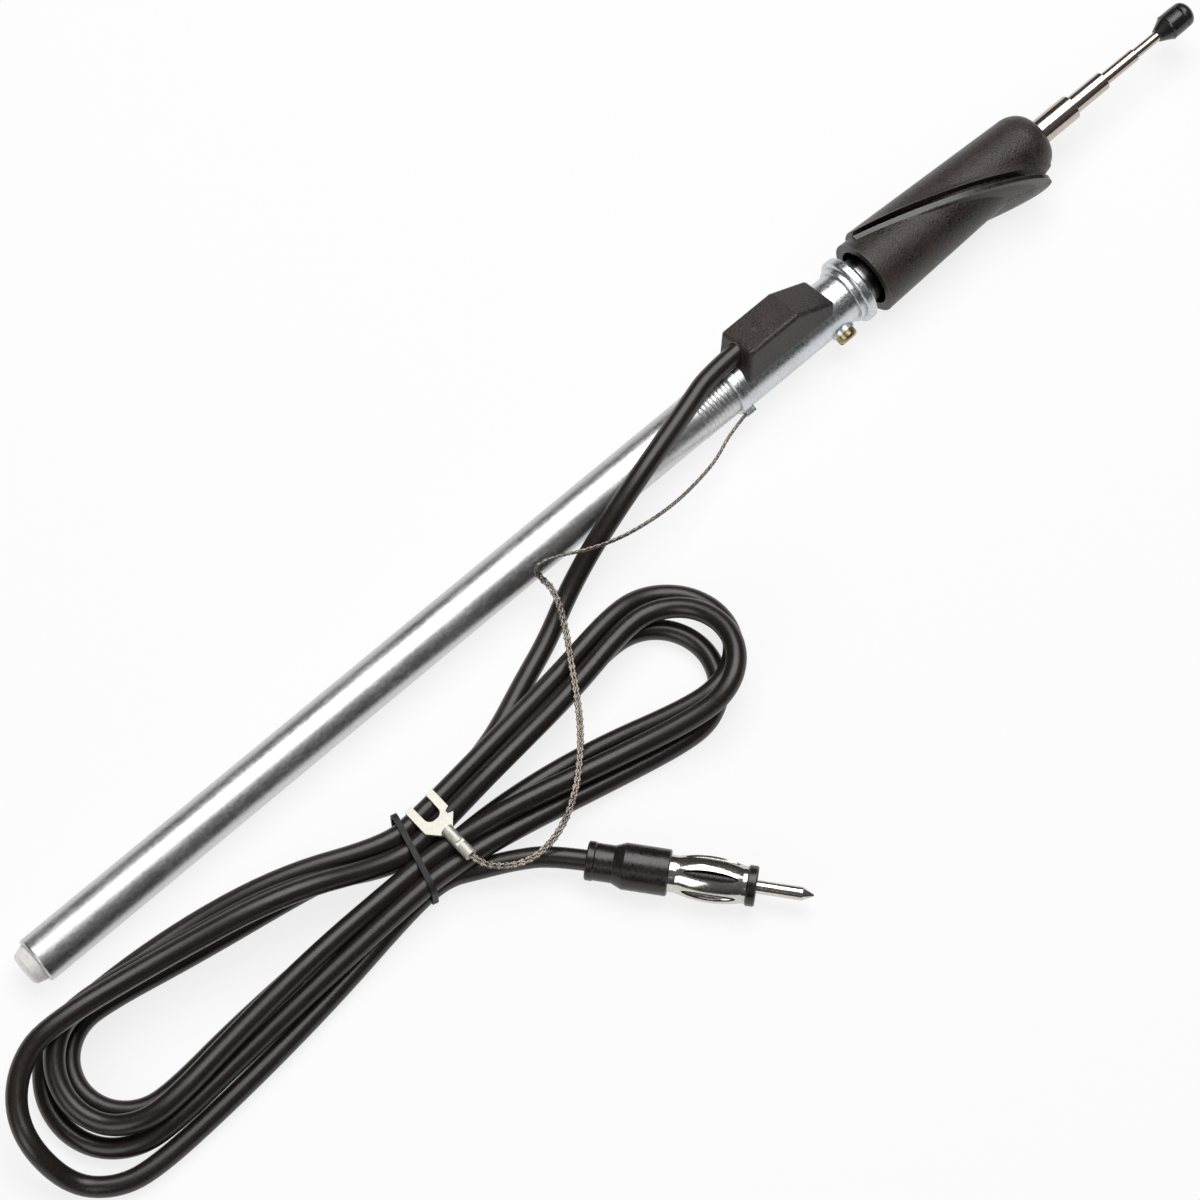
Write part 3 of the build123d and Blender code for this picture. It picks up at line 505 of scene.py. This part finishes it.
def finish_table(colours):
    """The finishes of the record's slots, and a glossier one for the plug's mouldings."""
    moulding = warm(colours.moulding, 0.45)
    boot = warm(colours.moulding, 0.3)
    jacket = warm(colours.jacket, 0.4)
    chrome = warm(colours.chrome, 0.14)
    return {
        "tube_aluminium": Finish(
            dark=shade(colours.tube, 0.85), light=shade(colours.tube, 1.2), rough=(0.3, 0.48),
            grain=(1300, 5e-6), patches=90, metallic=1.0, lines=1e-6),
        "end_plug_nylon": Finish(
            dark=(0.74, 0.72, 0.68), light=(0.92, 0.91, 0.88), rough=(0.35, 0.5),
            grain=(900, 2e-6), patches=120),
        "zinc_casting": Finish(
            dark=shade(colours.casting, 0.74), light=shade(colours.casting, 1.12), rough=(0.22, 0.42),
            grain=(1500, 1.2e-5), patches=160, metallic=1.0, seam=1e-4),
        "yellow_zinc": Finish(
            dark=(0.16, 0.12, 0.05), light=(0.5, 0.42, 0.22), rough=(0.22, 0.4),
            grain=(1500, 8e-6), patches=300, metallic=1.0),
        "black_moulding": Finish(
            dark=shade(moulding, 0.05), light=shade(moulding, 1.5), rough=(0.22, 0.48),
            grain=(1900, 6.5e-5), patches=110, seam=2e-4, wear=0.7),
        "boot_black": Finish(
            dark=shade(boot, 0.2), light=shade(boot, 0.7), rough=(0.18, 0.36),
            grain=(1200, 1e-5), patches=180, wear=0.4),
        "seal_black": Finish(
            dark=(0.008, 0.008, 0.008), light=(0.022, 0.02, 0.019), rough=(0.16, 0.28),
            grain=(900, 4e-6), patches=150, wear=0.8),
        "mast_chrome": Finish(
            dark=shade(chrome, 0.5), light=shade(chrome, 0.75), rough=(0.08, 0.2),
            grain=(2500, 3e-7), patches=200, metallic=1.0, lines=1e-6),
        "knob_black": Finish(
            dark=(0.005, 0.005, 0.005), light=(0.016, 0.014, 0.013), rough=(0.16, 0.34),
            grain=(1500, 1e-5), patches=250, coat=0.3, wear=0.6),
        "cable_black": Finish(
            dark=shade(jacket, 0.25), light=shade(jacket, 0.8), rough=(0.28, 0.38),
            grain=(2000, 6e-6), patches=70),
        "tie_black": Finish(
            dark=(0.005, 0.005, 0.005), light=(0.012, 0.01, 0.01), rough=(0.52, 0.68),
            grain=(2500, 3e-6), patches=200),
        "plug_nickel": Finish(
            dark=(0.46, 0.43, 0.38), light=(0.76, 0.73, 0.67), rough=(0.07, 0.2),
            grain=(2200, 1e-6), patches=250, metallic=1.0),
        "tinned_copper": Finish(
            dark=(0.1, 0.08, 0.065), light=(0.44, 0.39, 0.34), rough=(0.24, 0.42),
            grain=(2000, 3e-6), patches=300, metallic=1.0),
        "fork_tin": Finish(
            dark=(0.52, 0.5, 0.45), light=(0.74, 0.72, 0.66), rough=(0.52, 0.7),
            grain=(1400, 1e-5), patches=260, metallic=1.0),
        "contact_brass": Finish(
            dark=(0.54, 0.41, 0.18), light=(0.7, 0.55, 0.27), rough=(0.2, 0.34),
            grain=(1800, 1e-6), patches=200, metallic=1.0),
        "inner_nylon": Finish(
            dark=(0.68, 0.66, 0.61), light=(0.8, 0.78, 0.73), rough=(0.4, 0.55),
            grain=(1200, 2e-6), patches=150),
        "spring_steel": Finish(
            dark=(0.42, 0.42, 0.42), light=(0.58, 0.58, 0.58), rough=(0.22, 0.36),
            grain=(1800, 1e-6), patches=200, metallic=1.0),
    }


def mixed_colour(tree, factor, first, second):
    """Adds a Mix node for two colours, each a colour or a socket."""
    mix = add_node(tree, "ShaderNodeMix", {"Factor": factor}, data_type="RGBA")
    for name, colour in (("A", first), ("B", second)):
        if isinstance(colour, bpy.types.NodeSocket):
            tree.links.new(colour, mix.inputs[name])
        else:
            mix.inputs[name].default_value = (*colour, 1.0)
    return mix


def finish_material(slot, finish, groups):
    """A procedural material with grain and soft patches, and the lines, seam and lightened rubbed edges,
    partly a painted highlight, that the finish has.
    """
    material = bpy.data.materials.new(slot + "_finish")
    material.use_nodes = True
    tree = material.node_tree
    shader = tree.nodes["Principled BSDF"]
    place = add_node(tree, "ShaderNodeTexCoord").outputs["Object"]

    def effect(name, **values):
        return add_node(tree, "ShaderNodeGroup", values, node_tree=groups[name]).outputs[0]

    scale, depth = finish.grain
    grain = effect("grain", Vector=place, Scale=scale)
    patches = effect("patches", Vector=place, Scale=finish.patches)
    mixed = math(tree, "MULTIPLY_ADD", grain, grain_share, math(tree, "MULTIPLY", patches, 1 - grain_share))
    colour = mixed_colour(tree, mixed, finish.dark, finish.light)
    low, high = finish.rough
    rough = add_node(tree, "ShaderNodeMapRange", {
        "Value": mixed, "To Min": low, "To Max": high}).outputs["Result"]
    # Rubbed edges are lightened: partly real rubbing, partly a painted highlight along the edges
    if finish.wear:
        worn_and_highlight = math(tree, "MULTIPLY", effect("edges"), finish.wear)
        colour = mixed_colour(tree, worn_and_highlight, colour.outputs["Result"], rubbed_and_highlight_grey)
        rough = math(tree, "MULTIPLY_ADD", math(tree, "MULTIPLY", worn_and_highlight, rough), -rubbed_smoothing, rough)
    colour.name = "Finish colour"
    height = math(tree, "MULTIPLY", grain, depth)
    if finish.lines:
        height = math(tree, "MULTIPLY_ADD", effect("lines", Vector=place), finish.lines, height)
    if finish.seam:
        height = math(tree, "MULTIPLY_ADD", effect("seam", Vector=place), finish.seam, height)
    bump = add_node(tree, "ShaderNodeBump", {"Height": height, "Strength": 1.0, "Distance": 1.0})
    tree.links.new(colour.outputs["Result"], shader.inputs["Base Color"])
    tree.links.new(rough, shader.inputs["Roughness"])
    tree.links.new(bump.outputs["Normal"], shader.inputs["Normal"])
    shader.inputs["Metallic"].default_value = finish.metallic
    shader.inputs["Coat Weight"].default_value = finish.coat
    return material


def painted_neck_reflection(material):
    """Paints the head's dark reflection on the casting's neck, where the neck goes into the head."""
    tree = material.node_tree
    shader = tree.nodes["Principled BSDF"]
    along = aerial_place(tree, add_node(tree, "ShaderNodeTexCoord").outputs["Object"]).outputs["X"]
    inside = add_node(tree, "ShaderNodeMapRange", {
        "Value": along, "From Min": neck_start, "From Max": neck_start + neck_fade})
    plain = tree.nodes["Finish colour"].outputs["Result"]
    colour = mixed_colour(tree, inside.outputs["Result"], plain, neck_reflection_colour)
    tree.links.new(colour.outputs["Result"], shader.inputs["Base Color"])


def finish_of(slot):
    return bpy.data.materials[slot + "_finish"]


class AERIAL_OT_finishes(bpy.types.Operator):
    """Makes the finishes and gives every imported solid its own"""
    bl_idname = "aerial.finishes"
    bl_label = "Finishes"

    def execute(self, context):
        groups = {
            "grain": grain_group(), "patches": patch_group(), "lines": line_group(), "seam": seam_group(),
            "edges": edge_group()}
        for slot, finish in finish_table(context.scene.aerial_finishes).items():
            finish_material(slot, finish, groups)
        # Painted dark reflection of the head on the casting's neck
        painted_neck_reflection(finish_of("zinc_casting"))
        for row in frame["record"]["subparts"]:
            obj = frame["nodes"][row["node"]]
            obj.data.materials.clear()
            slot = "boot_black" if row["node"] in glossy_nodes else row["material_slot"]
            obj.data.materials.append(finish_of(slot))
        return {"FINISHED"}


class AERIAL_OT_cable(bpy.types.Operator):
    """Lays the coaxial cable from the block through its tied hank to the plug"""
    bl_idname = "aerial.cable"
    bl_label = "Coaxial cable"

    def execute(self, context):
        cords = context.scene.aerial_cords
        route = cable_route()
        cable = route_curve("coaxial_cable", route, cords.cable_diameter / 2)
        cable.data.materials.append(finish_of("cable_black"))
        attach(cable, "housing")
        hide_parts("cable_feed", "cable_hank", "cable_plug_lead")
        line_length(line_points(route))
        return {"FINISHED"}


def round_strands(tree, given, result, curve, sides, radius):
    """Ends a tree: its curves become round strands, real ones, in the finish that the tree is given."""
    profile = add_node(tree, "GeometryNodeCurvePrimitiveCircle", {"Resolution": sides, "Radius": radius})
    strands = add_node(tree, "GeometryNodeCurveToMesh", {
        "Curve": curve, "Profile Curve": profile.outputs["Curve"], "Fill Caps": True})
    real = add_node(tree, "GeometryNodeRealizeInstances", {"Geometry": strands.outputs["Mesh"]})
    dressed = add_node(tree, "GeometryNodeSetMaterial", {
        "Geometry": real.outputs["Geometry"], "Material": given.outputs["Finish"]})
    tree.links.new(dressed.outputs["Geometry"], result.inputs["Geometry"])
    return tree


def braid_tree():
    """Strands that go round a curve in both directions, over and under each other."""
    tree, given, result = socket_group(
        "Braid", "GeometryNodeTree",
        [("Geometry", "NodeSocketGeometry"), ("Strands", "NodeSocketInt"),
         ("Half width", "NodeSocketFloat"), ("Half thickness", "NodeSocketFloat"),
         ("Pitch", "NodeSocketFloat"), ("Strand radius", "NodeSocketFloat"),
         ("Turn start", "NodeSocketFloat"), ("Turn end", "NodeSocketFloat"),
         ("Finish", "NodeSocketMaterial")],
        [("Geometry", "NodeSocketGeometry")])
    size = given.outputs
    step = math(tree, "DIVIDE", size["Pitch"], strand_steps_per_pitch)
    even = add_node(tree, "GeometryNodeResampleCurve", {
        "Curve": size["Geometry"], "Length": step}, mode="LENGTH")
    level = add_node(tree, "GeometryNodeSetCurveNormal", {"Curve": even.outputs["Curve"]}, mode="Z_UP")
    copies = add_node(tree, "GeometryNodeDuplicateElements", {
        "Geometry": level.outputs["Curve"], "Amount": size["Strands"]}, domain="SPLINE")

    # Every other strand goes round the other way
    number = copies.outputs["Duplicate Index"]
    half = math(tree, "DIVIDE", size["Strands"], 2.0)
    side = math(tree, "MULTIPLY_ADD", math(tree, "MODULO", number, 2.0), 2.0, -1.0)
    place = math(tree, "DIVIDE", math(tree, "FLOOR", math(tree, "DIVIDE", number, 2.0)), half)
    along = add_node(tree, "GeometryNodeSplineParameter").outputs["Length"]
    turns = math(tree, "DIVIDE", along, size["Pitch"])
    angle = math(tree, "MULTIPLY", math(tree, "MULTIPLY_ADD", turns, side, place), 2 * pi)

    # A strand goes over and under those that it crosses
    weave = math(tree, "COSINE", math(tree, "MULTIPLY", math(tree, "MULTIPLY", turns, half), 2 * pi))
    lift = math(tree, "MULTIPLY", math(tree, "MULTIPLY", weave, side), size["Strand radius"])
    wide = math(tree, "MULTIPLY", math(tree, "SINE", angle), math(tree, "ADD", size["Half width"], lift))
    thick = math(
        tree, "MULTIPLY", math(tree, "COSINE", angle), math(tree, "ADD", size["Half thickness"], lift))

    # The braid stands on its edge at first and then turns to lie flat; the curve's normal is level
    lean = add_node(tree, "ShaderNodeMapRange", {
        "Value": along, "From Min": size["Turn start"], "From Max": size["Turn end"],
        "To Min": 0.0, "To Max": pi / 2}, interpolation_type="SMOOTHSTEP").outputs["Result"]
    lean_cosine = math(tree, "COSINE", lean)
    lean_sine = math(tree, "SINE", lean)
    sideways = math(tree, "MULTIPLY_ADD", thick, lean_cosine, math(tree, "MULTIPLY", wide, lean_sine))
    upward = math(
        tree, "SUBTRACT", math(tree, "MULTIPLY", wide, lean_cosine), math(tree, "MULTIPLY", thick, lean_sine))
    normal = add_node(tree, "GeometryNodeInputNormal").outputs["Normal"]
    tangent = add_node(tree, "GeometryNodeInputTangent").outputs["Tangent"]
    upright = add_node(tree, "ShaderNodeVectorMath", {0: tangent, 1: normal}, operation="CROSS_PRODUCT")
    across = add_node(tree, "ShaderNodeVectorMath", {0: normal, "Scale": sideways}, operation="SCALE")
    over = add_node(tree, "ShaderNodeVectorMath", {
        0: upright.outputs["Vector"], "Scale": upward}, operation="SCALE")
    offset = add_node(tree, "ShaderNodeVectorMath", {0: across.outputs["Vector"], 1: over.outputs["Vector"]})
    woven = add_node(tree, "GeometryNodeSetPosition", {
        "Geometry": copies.outputs["Geometry"], "Offset": offset.outputs["Vector"]})
    return round_strands(tree, given, result, woven.outputs["Geometry"], strand_sides, size["Strand radius"])


def grown(name, source, tree, values):
    """A plain mesh object made by a node tree from a source object, which is removed."""
    modifier = source.modifiers.new(tree.name, "NODES")
    modifier.node_group = tree
    for item in tree.interface.items_tree:
        if item.in_out == "INPUT" and item.name in values:
            modifier[item.identifier] = values[item.name]
    mesh = finished_mesh(source)
    mesh.name = name
    bpy.data.objects.remove(source)
    return link_to_scene(bpy.data.objects.new(name, mesh))


class AERIAL_OT_braid(bpy.types.Operator):
    """Weaves the earth braid from the lug to the fork"""
    bl_idname = "aerial.braid"
    bl_label = "Earth braid"

    def execute(self, context):
        cords = context.scene.aerial_cords
        line = line_points(braid_route)
        braid = grown("woven_braid", route_curve("braid_guide", braid_route), braid_tree(), {
            "Strands": cords.braid_strands, "Half width": cords.braid_width / 2 - 2 * cords.strand_radius,
            "Half thickness": cords.braid_thickness / 2 - 2 * cords.strand_radius, "Pitch": cords.braid_pitch,
            "Strand radius": cords.strand_radius, "Turn start": cords.turn_start, "Turn end": cords.turn_end,
            "Finish": finish_of("tinned_copper")})
        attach(braid, "housing")
        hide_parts("earth_braid")
        return {"FINISHED"}


def thread_tree():
    """A fine raised helix that stands on the origin."""
    tree, given, result = socket_group(
        "Thread", "GeometryNodeTree",
        [("Geometry", "NodeSocketGeometry"), ("Turns", "NodeSocketFloat"), ("Radius", "NodeSocketFloat"),
         ("Length", "NodeSocketFloat"), ("Ridge", "NodeSocketFloat"), ("Finish", "NodeSocketMaterial")],
        [("Geometry", "NodeSocketGeometry")])
    size = given.outputs
    helix = add_node(tree, "GeometryNodeCurveSpiral", {
        "Resolution": thread_steps, "Rotations": size["Turns"], "Start Radius": size["Radius"],
        "End Radius": size["Radius"], "Height": size["Length"]})
    return round_strands(tree, given, result, helix.outputs["Curve"], ridge_sides, size["Ridge"])


class AERIAL_OT_thread(bpy.types.Operator):
    """Winds the fine thread round the tube's upper end, just under the clamp body"""
    bl_idname = "aerial.thread"
    bl_label = "Tube thread"

    def execute(self, context):
        sizes = context.scene.aerial_thread
        blank = link_to_scene(bpy.data.objects.new("thread_blank", bpy.data.meshes.new("thread_blank")))
        thread = grown("tube_thread", blank, thread_tree(), {
            "Turns": sizes.turns, "Radius": sizes.radius, "Length": sizes.length, "Ridge": sizes.ridge,
            "Finish": finish_of("tube_aluminium")})
        upright = Matrix.Rotation(pi / 2, 4, "Y")
        thread.data.transform(aerial_lay @ Matrix.Translation((sizes.start, 0.0, 0.0)) @ upright)
        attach(thread, "housing")
        return {"FINISHED"}


def floor_material(colour):
    """Pale floor that looks white to the camera and in reflections, and keeps the shadow."""
    material = bpy.data.materials.new("pale_floor")
    material.use_nodes = True
    tree = material.node_tree
    tree.nodes.clear()
    path = add_node(tree, "ShaderNodeLightPath")
    seen = math(tree, "MAXIMUM", path.outputs["Is Camera Ray"], path.outputs["Is Glossy Ray"])
    seen = math(tree, "MAXIMUM", seen, path.outputs["Is Transmission Ray"])
    plain = add_node(tree, "ShaderNodeBsdfDiffuse", {"Color": (*colour, 1.0)})
    white = add_node(tree, "ShaderNodeEmission", {"Color": (1.0, 1.0, 1.0, 1.0), "Strength": 1.0})
    mixed = add_node(tree, "ShaderNodeMixShader", {
        0: math(tree, "MULTIPLY", seen, floor_white), 1: plain.outputs["BSDF"], 2: white.outputs["Emission"]})
    output = add_node(tree, "ShaderNodeOutputMaterial")
    tree.links.new(mixed.outputs["Shader"], output.inputs["Surface"])
    return material


def studio_world():
    """A grey room, darker toward the horizon than overhead."""
    world = bpy.data.worlds.new("studio")
    world.use_nodes = True
    tree = world.node_tree
    toward = add_node(tree, "ShaderNodeTexCoord").outputs["Generated"]
    parts = add_node(tree, "ShaderNodeSeparateXYZ", {"Vector": toward})
    rise = add_node(tree, "ShaderNodeMapRange", {
        "Value": parts.outputs["Z"], "From Min": horizon_rise, "From Max": overhead_rise,
        "To Min": horizon_grey, "To Max": overhead_grey})
    tree.links.new(rise.outputs["Result"], tree.nodes["Background"].inputs["Color"])
    return world


def soft_lamp(name, place, aim, size, power):
    """A wide soft lamp that points at a spot; its size runs along X and Y."""
    data = bpy.data.lights.new(name, "AREA")
    data.shape = "RECTANGLE"
    data.size = size[0]
    data.size_y = size[1]
    data.energy = power
    lamp = link_to_scene(bpy.data.objects.new(name, data))
    back = (Vector(place) - Vector(aim)).normalized()
    side = Vector((0.0, 1.0, 0.0)).cross(back).normalized()
    lamp.location = place
    lamp.rotation_euler = Matrix((side, back.cross(side), back)).transposed().to_euler()
    return lamp


class AERIAL_OT_stage(bpy.types.Operator):
    """Sets the camera, the pale floor and the soft lamps"""
    bl_idname = "aerial.stage"
    bl_label = "Stage"

    def execute(self, context):
        stage = context.scene.aerial_stage
        scene = context.scene
        data = bpy.data.cameras.new("photo_camera")
        data.lens = stage.camera_lens
        data.sensor_width = 36.0
        data.clip_start = 0.01
        camera = link_to_scene(bpy.data.objects.new("photo_camera", data))
        place = Vector(stage.camera_place)
        aim = Vector(stage.camera_aim)
        camera.location = place
        camera.rotation_euler = (aim - place).to_track_quat("-Z", "Y").to_euler()
        scene.camera = camera
        mesh = bpy.data.meshes.new("floor")
        half = floor_half
        corners = [(-half, -half, 0), (half, -half, 0), (half, half, 0), (-half, half, 0)]
        mesh.from_pydata(corners, [], [(0, 1, 2, 3)])
        floor = link_to_scene(bpy.data.objects.new("floor", mesh))
        mesh.materials.append(floor_material(stage.floor_colour))
        soft_lamp("key_lamp", key_place, aim, key_size, stage.key_power)
        soft_lamp("fill_lamp", fill_place, aim, fill_size, stage.fill_power)
        scene.world = studio_world()
        scene.view_settings.view_transform = "Standard"
        return {"FINISHED"}


class AERIAL_PT_panel(bpy.types.Panel):
    """Lists the aerial's settings and its pieces"""
    bl_idname = "AERIAL_PT_panel"
    bl_label = "Car mast aerial"
    bl_space_type = "VIEW_3D"
    bl_region_type = "UI"
    bl_category = "Aerial"

    def draw(self, context):
        scene = context.scene
        for settings in (scene.aerial_cords, scene.aerial_thread, scene.aerial_finishes, scene.aerial_stage):
            box = self.layout.box()
            for name in settings.__annotations__:
                box.prop(settings, name)
        for operator in build_order:
            self.layout.operator(operator.bl_idname)


build_order = (AERIAL_OT_stage, AERIAL_OT_finishes, AERIAL_OT_cable, AERIAL_OT_braid, AERIAL_OT_thread)
settings_classes = (CordSettings, ThreadSettings, FinishSettings, StageSettings)


def register():
    for item in settings_classes + build_order + (AERIAL_PT_panel,):
        bpy.utils.register_class(item)
    bpy.types.Scene.aerial_cords = PointerProperty(type=CordSettings)
    bpy.types.Scene.aerial_thread = PointerProperty(type=ThreadSettings)
    bpy.types.Scene.aerial_finishes = PointerProperty(type=FinishSettings)
    bpy.types.Scene.aerial_stage = PointerProperty(type=StageSettings)


def unregister():
    del bpy.types.Scene.aerial_cords
    del bpy.types.Scene.aerial_thread
    del bpy.types.Scene.aerial_finishes
    del bpy.types.Scene.aerial_stage
    for item in reversed(settings_classes + build_order + (AERIAL_PT_panel,)):
        bpy.utils.unregister_class(item)


def main():
    register()
    bpy.ops.aerial.stage()
    bpy.ops.aerial.finishes()
    bpy.ops.aerial.cable()
    bpy.ops.aerial.braid()
    bpy.ops.aerial.thread()


if __name__ == "__main__":
    main()
